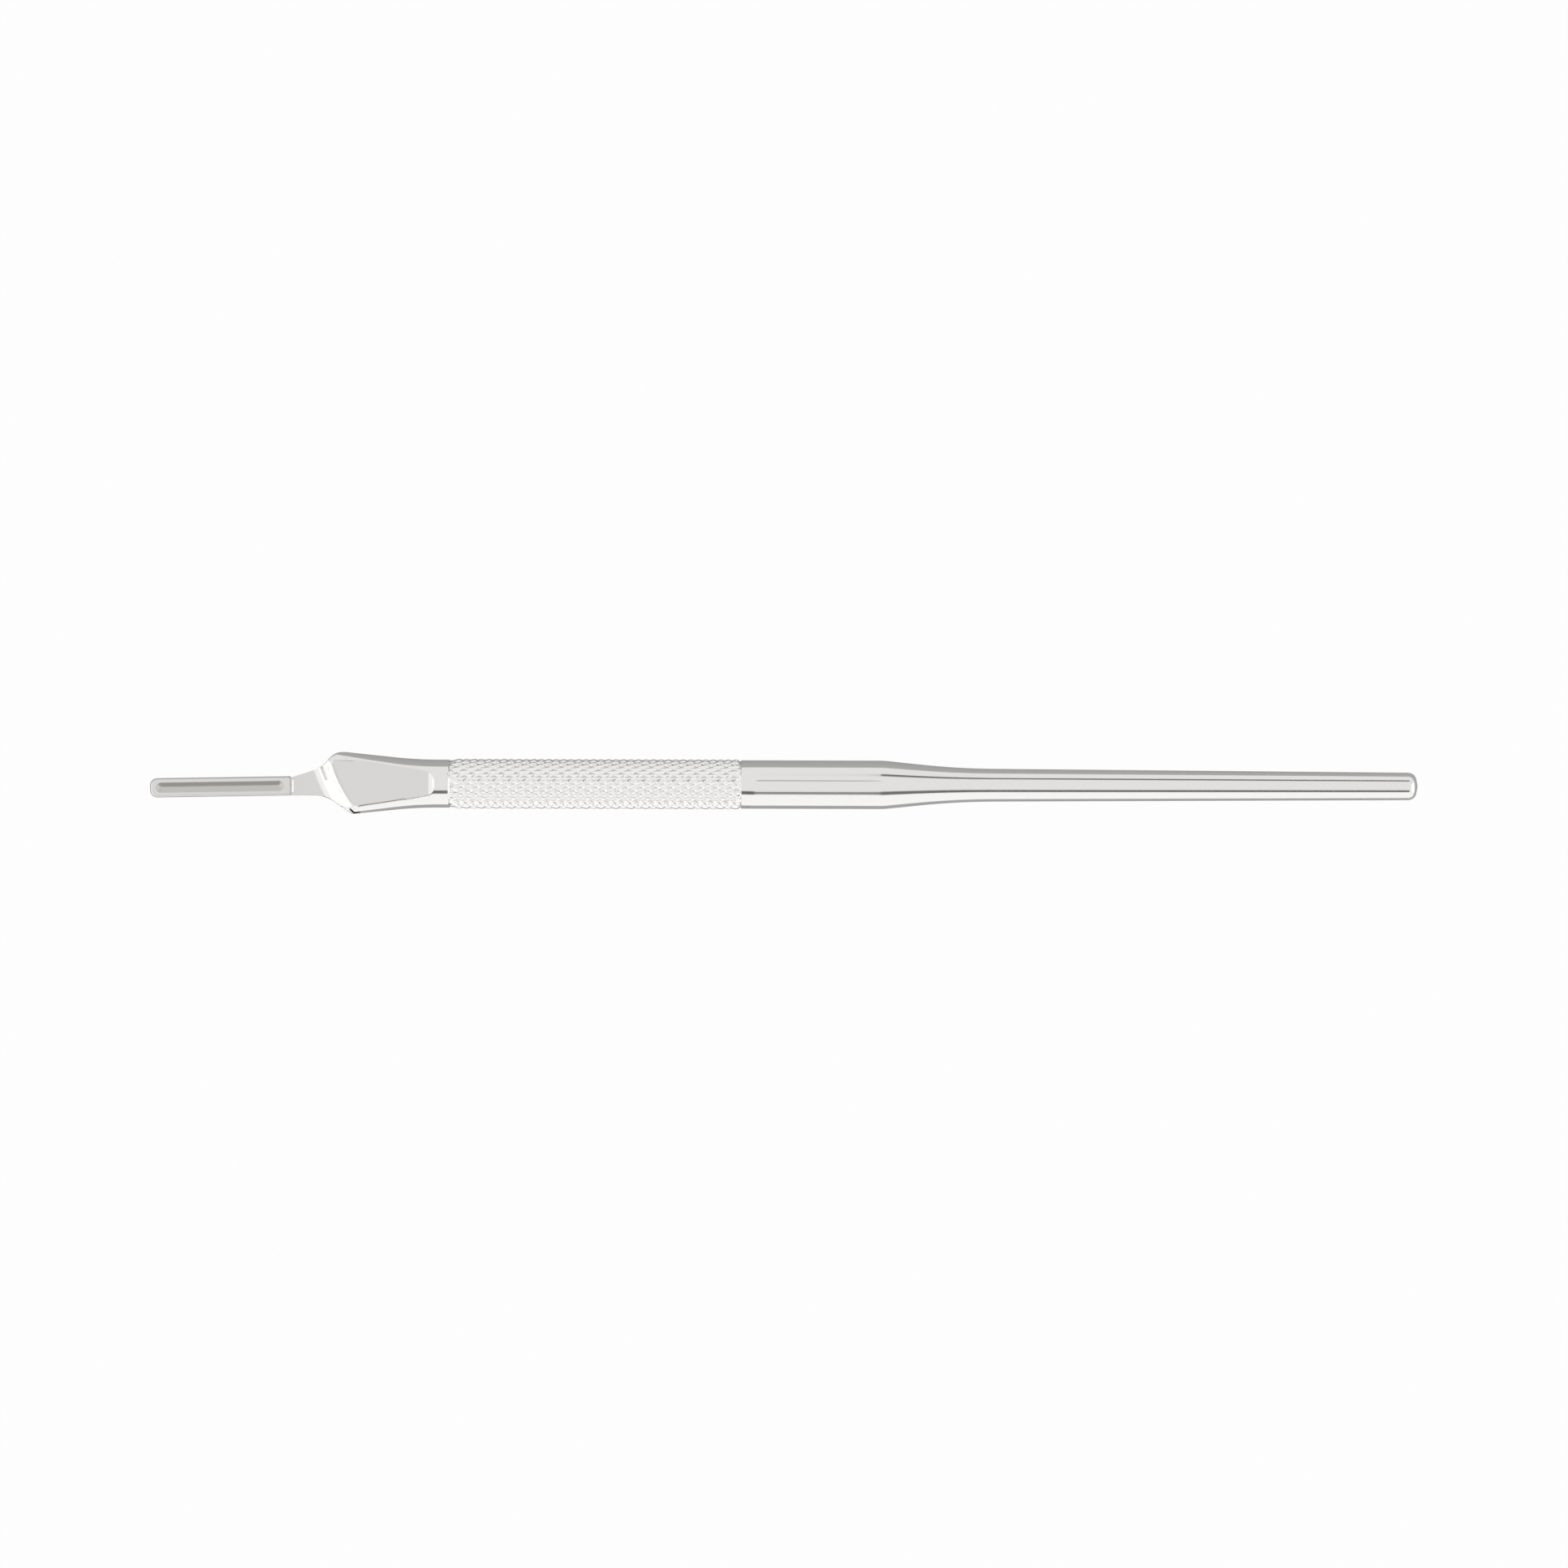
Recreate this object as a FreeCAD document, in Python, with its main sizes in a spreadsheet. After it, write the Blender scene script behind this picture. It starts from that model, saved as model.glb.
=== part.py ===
"""Scalpel handle, round pattern, one piece of stainless steel, lying on its knurled grip.

Lengths are in millimetres. Stations run along the axis from the tip of the blade key (0) to the
rounded rear end, and the finished handle is placed with its middle over the origin, the key
towards -X, the visible face towards +Z and the lowest knurl crests on Z = 0.
"""

import FreeCAD
import Part
import Sketcher

import math
import os

NODE = "handle"

SIZES = [
    ("overall_length", 146.1, "tip of the key to the rear end"),
    ("key_length", 16.1, "tip of the key to the rear of its raised bar"),
    ("key_width", 2.22, "width of the key"),
    ("key_tip_radius", 0.8, "corner radius of the tip in plan"),
    ("key_drop", 0.60, "axis of the key below the handle's axis at the tip"),
    ("key_tilt", 1.04, "angle between the key and the handle's axis, degrees"),
    ("key_front", 0.90, "face of the raised bar above the axis plane"),
    ("neck_back", 1.10, "back of key and neck below the axis plane"),
    ("seat_level", 0.20, "blade seat below the axis plane"),
    ("slot_width", 0.50, "width of the groove that takes the blade"),
    ("slot_depth", 0.38, "depth of the groove into each side of the key"),
    ("channel_start", 0.7, "front end of the channel in the bar"),
    ("channel_end", 15.4, "rear end of the channel in the bar"),
    ("channel_width", 1.20, "width of the channel"),
    ("channel_depth", 0.24, "depth of the channel"),
    ("bar_sweep", 0.60, "radius of the sweep from the bar down to the seat"),
    ("neck_top", 0.63, "upper edge of the neck above the axis, at the bar"),
    ("neck_top_rise", 17.9, "slope of the neck's upper edge, degrees"),
    ("neck_bottom", 1.415, "lower edge of the neck below the axis, at the bar"),
    ("neck_bottom_fall", 0.3, "slope of the neck's lower edge, degrees"),
    ("shoulder_sweep", 4.12, "radius of the hollow from neck to shoulder"),
    ("shoulder_top", 47.6, "slope of the upper shoulder, degrees"),
    ("shoulder_bottom", 35.4, "slope of the lower shoulder, degrees"),
    ("corner_radius", 1.74, "radius of both shoulder corners"),
    ("corner_top", 22.1, "station of the upper corner"),
    ("corner_bottom", 23.84, "station of the lower corner"),
    ("head_half_height", 3.61, "half height of the head at its corners"),
    ("head_rise", 5.9, "slope of the head's edges, degrees"),
    ("head_blend", 50.0, "radius that blends the edges into the grip"),
    ("head_bow", 78.0, "radius of the head's front and back lines"),
    ("head_thin", 1.45, "least half thickness of the blank at the neck"),
    ("head_end", 33.3, "station where the head becomes round"),
    ("head_radius", 2.765, "radius of the head where it meets the grip"),
    ("stop_lean", 26.3, "lean of the blade stop from square, degrees"),
    ("stop_bow", 17.0, "radius of the blade stop in plan"),
    ("stop_station", 21.88, "station of the blade stop on the axis"),
    ("stop_height", 1.42, "ridge of the blade stop above the axis plane"),
    ("stop_land", 0.08, "width of the ridge each side of the stop"),
    ("stop_sweep", 80, "angle over which the stop is swept, degrees"),
    ("ramp_angle", 45.0, "slope of the ramp up to the ridge, degrees"),
    ("ramp_radius", 0.9, "hollow at the foot of the ramp"),
    ("panel_level", 1.15, "ground flat above the axis plane at the stop"),
    ("panel_slope", 7.0, "slope of the ground flat, degrees"),
    ("panel_closed", 1.6, "length of the flat's closed edges past the stop"),
    ("panel_half_height", 2.66, "half height of the flat at its closed edges"),
    ("panel_corner", 0.50, "corner radius of the flat"),
    ("panel_end", 32.0, "station where the ground flat runs out"),
    ("runout_radius", 1.60, "radius of the run-out"),
    ("grip_start", 34.5, "front end of the knurled grip"),
    ("grip_pitch", 1.723, "knurl pitch along the handle"),
    ("grip_rows", 19.5, "number of pitches along the grip"),
    ("grip_starts", 20, "knurl grooves round the grip, each way"),
    ("grip_crest", 2.87, "radius over the knurl crests"),
    ("grip_root", 2.60, "radius at the bottom of the grooves"),
    ("grip_flat", 0.16, "flat of a crest as a share of its diamond"),
    ("grip_end_crest", 2.71, "crest radius at both ends of the grip"),
    ("barrel_radius", 2.79, "radius of the plain barrel"),
    ("barrel_end", 84.1, "rear end of the plain barrel"),
    ("barrel_shoulder", 9.0, "radius that turns the barrel into the cone"),
    ("cone_angle", 5.9, "half angle of the cone, degrees"),
    ("cone_blend", 88.0, "radius that blends the cone into the shank"),
    ("shank_radius", 1.58, "radius of the shank at the rear end"),
    ("shank_taper", 0.363, "half angle of the shank, degrees"),
    ("end_radius", 0.95, "corner radius of the rear end"),
    ("end_crown", 0.12, "crown of the rear face"),
    ("overrun", 2.0, "how far a cut runs on past the metal"),
]


def driving_sizes(doc, rows):
    """The driving dimensions, one named cell a row."""
    sheet = doc.addObject("Spreadsheet::Sheet", "Sizes")
    for row, (alias, value, meaning) in enumerate(rows, 1):
        sheet.set(f"A{row}", alias)
        sheet.set(f"B{row}", str(value))
        sheet.set(f"C{row}", meaning)
        sheet.setAlias(f"B{row}", alias)
    doc.recompute()
    return sheet


class Outline:
    """A closed sketch outline of lines and tangent arcs, drawn point by point.

    Every corner is given by two expressions of the driving dimensions, and an arc by its radius,
    so each point is driven by the sheet.
    """

    def __init__(self, sketch):
        self.sketch = sketch
        self.points = []
        self.edges = []

    def value(self, expression):
        """The number an expression gives with the present sizes."""
        return float(self.sketch.evalExpression(expression))

    def start(self, x, y):
        self.points.append((x, y))
        return self

    def line(self, x, y):
        self.edges.append(("line", None))
        self.points.append((x, y))
        return self

    def arc(self, x, y, radius, left):
        """An arc to (x, y) that turns left or right of its direction of travel."""
        self.edges.append(("arc", (radius, left)))
        self.points.append((x, y))
        return self

    def close(self):
        """Draws the edges, joins them end to end and ties every corner to the sheet."""
        sketch = self.sketch
        if self.points[-1] == self.points[0]:
            self.points.pop()
        else:
            self.edges.append(("line", None))
        corners = [tuple(self.value(e) for e in p) for p in self.points]
        ends = []
        for i, (kind, data) in enumerate(self.edges):
            a = corners[i]
            b = corners[(i + 1) % len(corners)]
            if kind == "line":
                edge = Part.LineSegment(FreeCAD.Vector(*a, 0), FreeCAD.Vector(*b, 0))
                ends.append((sketch.addGeometry(edge), 1, 2))
            else:
                ends.append(self.add_arc(a, b, *data))
        for i, (geo, first, last) in enumerate(ends):
            after, after_first, _ = ends[(i + 1) % len(ends)]
            join = Sketcher.Constraint("Coincident", geo, last, after, after_first)
            sketch.addConstraint(join)
        for i, (geo, first, _) in enumerate(ends):
            for kind, j in (("DistanceX", 0), ("DistanceY", 1)):
                size = corners[i][j]
                rule = Sketcher.Constraint(kind, -1, 1, geo, first, size)
                at = sketch.addConstraint(rule)
                sketch.setExpression(f"Constraints[{at}]", self.points[i][j])
        return sketch

    def add_arc(self, a, b, radius, left):
        """The arc from a to b, with its radius tied to the sheet."""
        size = self.value(radius)
        ax, ay = a
        bx, by = b
        half = math.hypot(bx - ax, by - ay) / 2
        rise = math.sqrt(max(size * size - half * half, 0.0))
        side = 1 if left else -1
        nx, ny = -(by - ay) / (2 * half), (bx - ax) / (2 * half)
        cx = (ax + bx) / 2 + side * rise * nx
        cy = (ay + by) / 2 + side * rise * ny
        start, end = math.atan2(ay - cy, ax - cx), math.atan2(by - cy, bx - cx)
        if not left:
            start, end = end, start
        centre = FreeCAD.Vector(cx, cy, 0)
        circle = Part.Circle(centre, FreeCAD.Vector(0, 0, 1), size)
        geo = self.sketch.addGeometry(Part.ArcOfCircle(circle, start, end))
        at = self.sketch.addConstraint(Sketcher.Constraint("Radius", geo, size))
        self.sketch.setExpression(f"Constraints[{at}]", radius)
        return (geo, 1, 2) if left else (geo, 2, 1)


def origin_plane(body, role):
    """One of the body's own origin planes, found by its role."""
    for feature in body.Origin.OriginFeatures:
        if feature.Role == role:
            return feature
    raise ValueError(role)


def sketch_on(body, name, role, offset=None):
    """A sketch on one of the body's origin planes; offset maps placement paths to expressions."""
    sketch = body.newObject("Sketcher::SketchObject", name)
    sketch.AttachmentSupport = [(origin_plane(body, role), "")]
    sketch.MapMode = "FlatFace"
    for path, expression in (offset or {}).items():
        sketch.setExpression(f"AttachmentOffset.{path}", expression)
    body.Document.recompute()
    return sketch


def tilt_sketch(sketch, axis, angle):
    """Tilts a sketch about an axis of its plane; the first degree only sets the axis."""
    turn = FreeCAD.Rotation(FreeCAD.Vector(*axis), 1)
    sketch.AttachmentOffset = FreeCAD.Placement(FreeCAD.Vector(), turn)
    sketch.setExpression("AttachmentOffset.Rotation.Angle", angle)


def turned_shank(doc):
    """Barrel, cone, shank and rounded rear end, turned about the handle's axis."""
    body = doc.addObject("PartDesign::Body", "turned_shank")
    sketch = sketch_on(body, "shank_profile", "XZ_Plane")
    front = "Sizes.grip_start + Sizes.grip_rows * Sizes.grip_pitch"
    cone = "Sizes.cone_angle * 1deg"
    taper = "Sizes.shank_taper * 1deg"
    # The barrel's shoulder turns down to the cone's slope.
    x1 = f"Sizes.barrel_end + Sizes.barrel_shoulder * sin({cone})"
    y1 = f"Sizes.barrel_radius - Sizes.barrel_shoulder * (1 - cos({cone}))"
    # The cone's line and the shank's line cross at the foot of the blend.
    shank_at = f"(Sizes.shank_radius + (Sizes.overall_length - ({x1})) * tan({taper}))"
    foot = f"((({y1}) - {shank_at}) / (tan({cone}) - tan({taper})))"
    reach = f"(Sizes.cone_blend * tan(({cone} - {taper}) / 2))"
    x2 = f"{x1} + {foot} - {reach} * cos({cone})"
    y2 = f"({y1}) - ({foot} - {reach} * cos({cone})) * tan({cone})"
    x3 = f"{x1} + {foot} + {reach} * cos({taper})"
    y3 = f"{shank_at} - ({foot} + {reach} * cos({taper})) * tan({taper})"
    # The rear end: a rounded corner and a slightly crowned face.
    x4 = "Sizes.overall_length - Sizes.end_crown - Sizes.end_radius"
    y4 = f"Sizes.shank_radius + (Sizes.end_crown + Sizes.end_radius) * tan({taper})"
    x5 = "Sizes.overall_length - Sizes.end_crown"
    y5 = f"{y4} - Sizes.end_radius"
    crown = f"((({y5}) * ({y5}) + Sizes.end_crown ^ 2) / (2 * Sizes.end_crown))"
    path = Outline(sketch)
    path.start(front, "0")
    path.line(front, "Sizes.barrel_radius")
    path.line("Sizes.barrel_end", "Sizes.barrel_radius")
    path.arc(x1, y1, "Sizes.barrel_shoulder", left=False)
    path.line(x2, y2)
    path.arc(x3, y3, "Sizes.cone_blend", left=True)
    path.line(x4, y4)
    path.arc(x5, y5, "Sizes.end_radius", left=False)
    path.arc("Sizes.overall_length", "0", crown, left=False)
    path.close()
    turn = body.newObject("PartDesign::Revolution", "shank_turned")
    turn.Profile = sketch
    turn.ReferenceAxis = (sketch, ["H_Axis"])
    turn.Angle = 360
    body.Tip = turn
    return body


def value(sheet, alias):
    """One driving dimension as a number."""
    return float(sheet.get(alias))


def blank_sections(doc):
    """Elliptic sections of the head's blank, from the neck to the round grip end.

    The height follows a straight edge that an arc blends into the grip, and the thickness a
    long bow that ends in the grip too. Nine spans of equal length follow both closely.
    """
    steps = 9
    upright = FreeCAD.Rotation(FreeCAD.Vector(1, 1, 1), 120)
    rise = "Sizes.head_rise * 1deg"
    straight_to = f"(Sizes.head_end - Sizes.head_blend * sin({rise}))"
    edge_there = f"(Sizes.head_radius + Sizes.head_blend * (1 - cos({rise})))"
    sections = []
    for i in range(steps + 1):
        at = f"(Sizes.key_length + (Sizes.head_end - Sizes.key_length) * {i} / {steps})"
        left = f"(Sizes.head_end - {at})"
        blend = f"sqrt(Sizes.head_blend ^ 2 - min({left}; Sizes.head_blend * sin({rise})) ^ 2)"
        on_arc = f"Sizes.head_radius + Sizes.head_blend - {blend}"
        on_line = f"{edge_there} + ({straight_to} - {at}) * tan({rise})"
        height = f"{at} < {straight_to} ? {on_line} : {on_arc}"
        bow = f"Sizes.head_radius - {left} ^ 2 / (2 * Sizes.head_bow)"
        sections.append(blank_section(doc, f"section_{i}", at, height, bow, upright))
    grip = "Sizes.grip_start"
    end = blank_section(doc, "section_end", grip, "Sizes.head_radius", "Sizes.head_radius", upright)
    return sections + [end]


def blank_section(doc, name, station, height, thickness, upright):
    """One upright ellipse, its half height along Y and its half thickness along Z."""
    ellipse = doc.addObject("Part::Ellipse", name)
    ellipse.MinorRadius = 1
    ellipse.Placement = FreeCAD.Placement(FreeCAD.Vector(), upright)
    ellipse.setExpression("Placement.Base.x", station)
    ellipse.setExpression("MajorRadius", f"({height}) * 1mm")
    least = "Sizes.head_thin"
    ellipse.setExpression("MinorRadius", f"min(max({thickness}; {least}); {height}) * 1mm")
    return ellipse


def head_blank(doc):
    """The head before milling: a smooth skin over the elliptic sections."""
    blank = doc.addObject("Part::Loft", "head_blank")
    blank.Sections = blank_sections(doc)
    blank.Solid = True
    blank.Ruled = False
    doc.recompute()
    return blank


def pocket(body, sketch, length=None, outward=False, midplane=False):
    """A pocket from the sketch, through everything or to a length given by an expression."""
    cut = body.newObject("PartDesign::Pocket", sketch.Name + "_cut")
    cut.Profile = sketch
    if length:
        cut.Type = 0
        cut.setExpression("Length", length)
    else:
        cut.Type = 1
    cut.Reversed = outward
    cut.Midplane = midplane
    body.Tip = cut
    return cut


def neck_sides(body):
    """Cuts the blank's plan down to shoulder and neck, above and below the axis."""
    for name, side in (("upper", 1), ("lower", -1)):
        sketch = sketch_on(body, f"{name}_shoulder", "XY_Plane")
        if side > 0:
            edge, fall, lean, corner = "neck_top", "neck_top_rise", "shoulder_top", "corner_top"
        else:
            edge, fall = "neck_bottom", "neck_bottom_fall"
            lean, corner = "shoulder_bottom", "corner_bottom"
        fall, lean = f"(Sizes.{fall} * 1deg)", f"(Sizes.{lean} * 1deg)"
        # Where the corner's arc leaves the shoulder's line.
        x4 = f"(Sizes.{corner} - Sizes.corner_radius * sin({lean}))"
        y4 = f"(Sizes.head_half_height - Sizes.corner_radius * (1 - cos({lean})))"
        # Where the neck's line and the shoulder's line cross, and the hollow between them.
        drop = f"({y4} - Sizes.{edge} - ({x4} - Sizes.key_length) * tan({fall}))"
        back = f"({drop} / (tan({lean}) - tan({fall})))"
        reach = f"(Sizes.shoulder_sweep * tan(({lean} - {fall}) / 2))"
        x2 = f"({x4} - {back} - {reach} * cos({fall}))"
        y2 = f"({y4} - {back} * tan({lean}) - {reach} * sin({fall}))"
        x3 = f"({x4} - {back} + {reach} * cos({lean}))"
        y3 = f"({y4} - {back} * tan({lean}) + {reach} * sin({lean}))"
        clear = "(Sizes.head_half_height + Sizes.overrun)"
        path = Outline(sketch)
        path.start("Sizes.key_length - Sizes.overrun", f"{side} * Sizes.{edge}")
        path.line("Sizes.key_length", f"{side} * Sizes.{edge}")
        path.line(x2, f"{side} * {y2}")
        path.arc(x3, f"{side} * {y3}", "Sizes.shoulder_sweep", left=side > 0)
        path.line(x4, f"{side} * {y4}")
        path.arc(f"Sizes.{corner}", f"{side} * Sizes.head_half_height", "Sizes.corner_radius",
                 left=side < 0)
        path.line(f"Sizes.{corner} + Sizes.overrun", f"{side} * Sizes.head_half_height")
        path.line(f"Sizes.{corner} + Sizes.overrun", f"{side} * {clear}")
        path.line("Sizes.key_length - Sizes.overrun", f"{side} * {clear}")
        path.close()
        pocket(body, sketch, midplane=True)


def blade_stop(body, name, side, level):
    """Mills seat, ramp and ridge, swept about a point behind the head; side is +1 or -1."""
    lean = "(Sizes.stop_lean * 1deg)"
    sketch = sketch_on(body, name, "XZ_Plane")
    tilt_sketch(sketch, (0, 1, 0), lean)
    behind = f"Sizes.stop_station + Sizes.stop_bow * cos({lean})"
    sketch.setExpression("AttachmentOffset.Base.x", behind)
    sketch.setExpression("AttachmentOffset.Base.z", f"-Sizes.stop_bow * sin({lean})")
    body.Document.recompute()
    ramp = "(Sizes.ramp_angle * 1deg)"
    edge = "(-Sizes.stop_bow - Sizes.stop_land)"
    rise = f"(Sizes.stop_height - ({level}))"
    foot = f"({edge} - {rise} / tan({ramp}))"
    reach = f"(Sizes.ramp_radius * tan({ramp} / 2))"
    clear = "(Sizes.head_radius + Sizes.overrun)"
    far = f"({edge} - Sizes.stop_station)"
    path = Outline(sketch)
    path.start(far, f"{side} * ({level})")
    path.line(f"{foot} - {reach}", f"{side} * ({level})")
    path.arc(f"{foot} + {reach} * cos({ramp})", f"{side} * ({level} + {reach} * sin({ramp}))",
             "Sizes.ramp_radius", left=side > 0)
    path.line(edge, f"{side} * Sizes.stop_height")
    path.line("-Sizes.stop_bow + Sizes.stop_land", f"{side} * Sizes.stop_height")
    path.line("-Sizes.stop_bow + Sizes.stop_land", f"{side} * {clear}")
    path.line(far, f"{side} * {clear}")
    path.close()
    cut = body.newObject("PartDesign::Groove", name + "_cut")
    cut.Profile = sketch
    cut.ReferenceAxis = (sketch, ["V_Axis"])
    cut.Midplane = True
    cut.setExpression("Angle", "Sizes.stop_sweep * 1deg")
    body.Tip = cut
    return cut


def ground_panel(body):
    """The sloping flat, closed at the blade stop and running out behind, on front and back."""
    slope = "(Sizes.panel_slope * 1deg)"
    sketch = sketch_on(body, "panel", "XY_Plane")
    tilt_sketch(sketch, (0, -1, 0), slope)
    sketch.setExpression("AttachmentOffset.Base.x", "Sizes.stop_station")
    sketch.setExpression("AttachmentOffset.Base.z", "Sizes.panel_level")
    body.Document.recompute()
    bow, corner, half = "Sizes.stop_bow", "Sizes.panel_corner", "Sizes.panel_half_height"
    lean = "(Sizes.stop_lean * 1deg)"
    cx, cy = f"({bow} * cos({lean}))", f"({bow} * sin({lean}))"
    top = f"asin(({cy} - {half} + {corner}) / ({bow} - {corner}))"
    low = f"asin(({cy} + {half} - {corner}) / ({bow} - {corner}))"
    along = f"/ cos({slope})"
    top_x, top_y = f"({cx} - {bow} * cos({top}))", f"({cy} - {bow} * sin({top}))"
    low_x, low_y = f"({cx} - {bow} * cos({low}))", f"({cy} - {bow} * sin({low}))"
    shut = f"({low_x} + Sizes.panel_closed) {along}"
    end = f"(Sizes.panel_end - Sizes.stop_station) {along}"
    clear = "(Sizes.head_half_height + Sizes.overrun)"
    path = Outline(sketch)
    path.start(f"{low_x} {along}", low_y)
    path.arc(f"{top_x} {along}", top_y, bow, left=False)
    path.arc(f"({top_x} + {corner} * cos({top})) {along}", half, corner, left=False)
    path.line(shut, half)
    path.line(shut, clear)
    path.line(end, clear)
    path.line(end, f"-{clear}")
    path.line(shut, f"-{clear}")
    path.line(shut, f"-{half}")
    path.line(f"({low_x} + {corner} * cos({low})) {along}", f"-{half}")
    path.arc(f"{low_x} {along}", low_y, corner, left=False)
    path.close()
    return pocket(body, sketch, outward=True)


def panel_runout(body):
    """The hollow that ends the ground flat, as the wheel leaves it."""
    slope = "(Sizes.panel_slope * 1deg)"
    sketch = sketch_on(body, "runout", "XZ_Plane")
    radius = "Sizes.runout_radius"
    level = f"(Sizes.panel_level + (Sizes.panel_end - Sizes.stop_station) * tan({slope}))"
    cx = f"(Sizes.panel_end - {radius} * sin({slope}))"
    cz = f"({level} + {radius} * cos({slope}))"
    path = Outline(sketch)
    path.start("Sizes.panel_end - Sizes.overrun", f"{level} - Sizes.overrun * tan({slope})")
    path.line("Sizes.panel_end", level)
    path.arc(f"{cx} + {radius}", cz, radius, left=True)
    path.line("Sizes.panel_end - Sizes.overrun", cz)
    path.close()
    return pocket(body, sketch, midplane=True)


def mirror_to_back(body, cuts):
    """Repeats the cuts of the front on the back."""
    mirror = body.newObject("PartDesign::Mirrored", "back_panel")
    mirror.Originals = cuts
    mirror.MirrorPlane = (origin_plane(body, "XY_Plane"), [""])
    body.Tip = mirror


def key_sketch(body, name, role, lift):
    """A sketch that follows the key's own axis, tilted a little against the handle's."""
    sketch = sketch_on(body, name, role)
    flat = role == "XY_Plane"
    tilt_sketch(sketch, (0, 0, 1) if flat else (0, 1, 0), "Sizes.key_tilt * 1deg")
    if flat:
        sketch.setExpression("AttachmentOffset.Base.y", "-Sizes.key_drop")
        sketch.setExpression("AttachmentOffset.Base.z", lift)
    else:
        sketch.setExpression("AttachmentOffset.Base.y", lift)
        sketch.setExpression("AttachmentOffset.Base.z", "Sizes.key_drop")
    body.Document.recompute()
    return sketch


def blade_key(body):
    """The key that the blade's slot slides over: bar, undercut groove and channel."""
    tilt = "(Sizes.key_tilt * 1deg)"
    half, tip = "(Sizes.key_width / 2)", "Sizes.key_tip_radius"
    # The rear end is square to the handle, so it is skew to the key.
    top_x = f"((Sizes.key_length + {half} * sin({tilt})) / cos({tilt}))"
    low_x = f"((Sizes.key_length - {half} * sin({tilt})) / cos({tilt}))"
    plan = key_sketch(body, "key_plan", "XY_Plane", "-Sizes.neck_back")
    path = Outline(plan)
    path.start(top_x, half)
    path.line(tip, half)
    path.arc("0", f"{half} - {tip}", tip, left=True)
    path.line("0", f"{tip} - {half}")
    path.arc(tip, f"-{half}", tip, left=True)
    path.line(low_x, f"-{half}")
    path.close()
    bar = body.newObject("PartDesign::Pad", "key_bar")
    bar.Profile = plan
    bar.setExpression("Length", "(Sizes.neck_back + Sizes.key_front) * 1mm")
    body.Tip = bar
    blade_groove(body, half)
    key_channel(body)


def blade_groove(body, half):
    """The groove round the key, open to the seat at its rear."""
    sketch = key_sketch(body, "groove", "XY_Plane", "-Sizes.seat_level")
    web = f"({half} - Sizes.slot_depth)"
    corner = "(Sizes.key_tip_radius - Sizes.slot_depth)"
    front = "Sizes.slot_depth"
    clear = f"({half} + Sizes.overrun)"
    rear = "(Sizes.key_length + Sizes.bar_sweep)"
    path = Outline(sketch)
    path.start(rear, web)
    path.line(f"{front} + {corner}", web)
    path.arc(front, f"{web} - {corner}", corner, left=True)
    path.line(front, f"{corner} - {web}")
    path.arc(f"{front} + {corner}", f"-{web}", corner, left=True)
    path.line(rear, f"-{web}")
    path.line(rear, f"-{clear}")
    path.line("-Sizes.overrun", f"-{clear}")
    path.line("-Sizes.overrun", clear)
    path.line(rear, clear)
    path.close()
    pocket(body, sketch, length="Sizes.slot_width * 1mm", outward=True)


def key_channel(body):
    """The shallow round-ended channel in the face of the bar."""
    half, deep = "(Sizes.channel_width / 2)", "Sizes.channel_depth"
    radius = f"(({half} ^ 2 + {deep} ^ 2) / (2 * {deep}))"
    lift = f"Sizes.key_front + {radius} - {deep}"
    sketch = key_sketch(body, "channel", "XZ_Plane", lift)
    first, last = f"(Sizes.channel_start + {half})", f"(Sizes.channel_end - {half})"
    path = Outline(sketch)
    path.start(f"{first} - {radius}", "0")
    path.arc(first, f"-{radius}", radius, left=True)
    path.line(last, f"-{radius}")
    path.arc(f"{last} + {radius}", "0", radius, left=True)
    path.close()
    cut = body.newObject("PartDesign::Groove", "channel_cut")
    cut.Profile = sketch
    cut.ReferenceAxis = (sketch, ["H_Axis"])
    cut.Angle = 360
    body.Tip = cut


def bar_sweep(body):
    """The hollow that leads from the end of the bar down to the blade seat."""
    sketch = sketch_on(body, "bar_end", "XZ_Plane")
    middle = "(Sizes.neck_bottom - Sizes.neck_top) / 2"
    sketch.setExpression("AttachmentOffset.Base.z", middle)
    body.Document.recompute()
    seat, radius = "(-Sizes.seat_level)", "Sizes.bar_sweep"
    path = Outline(sketch)
    path.start("Sizes.key_length", f"{seat} + {radius}")
    path.arc(f"Sizes.key_length + {radius}", seat, radius, left=True)
    path.line("Sizes.key_length", seat)
    path.close()
    sweep = body.newObject("PartDesign::Pad", "bar_end_sweep")
    sweep.Profile = sketch
    sweep.Midplane = True
    sweep.setExpression("Length", "(Sizes.neck_top + Sizes.neck_bottom) * 1mm")
    body.Tip = sweep


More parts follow.
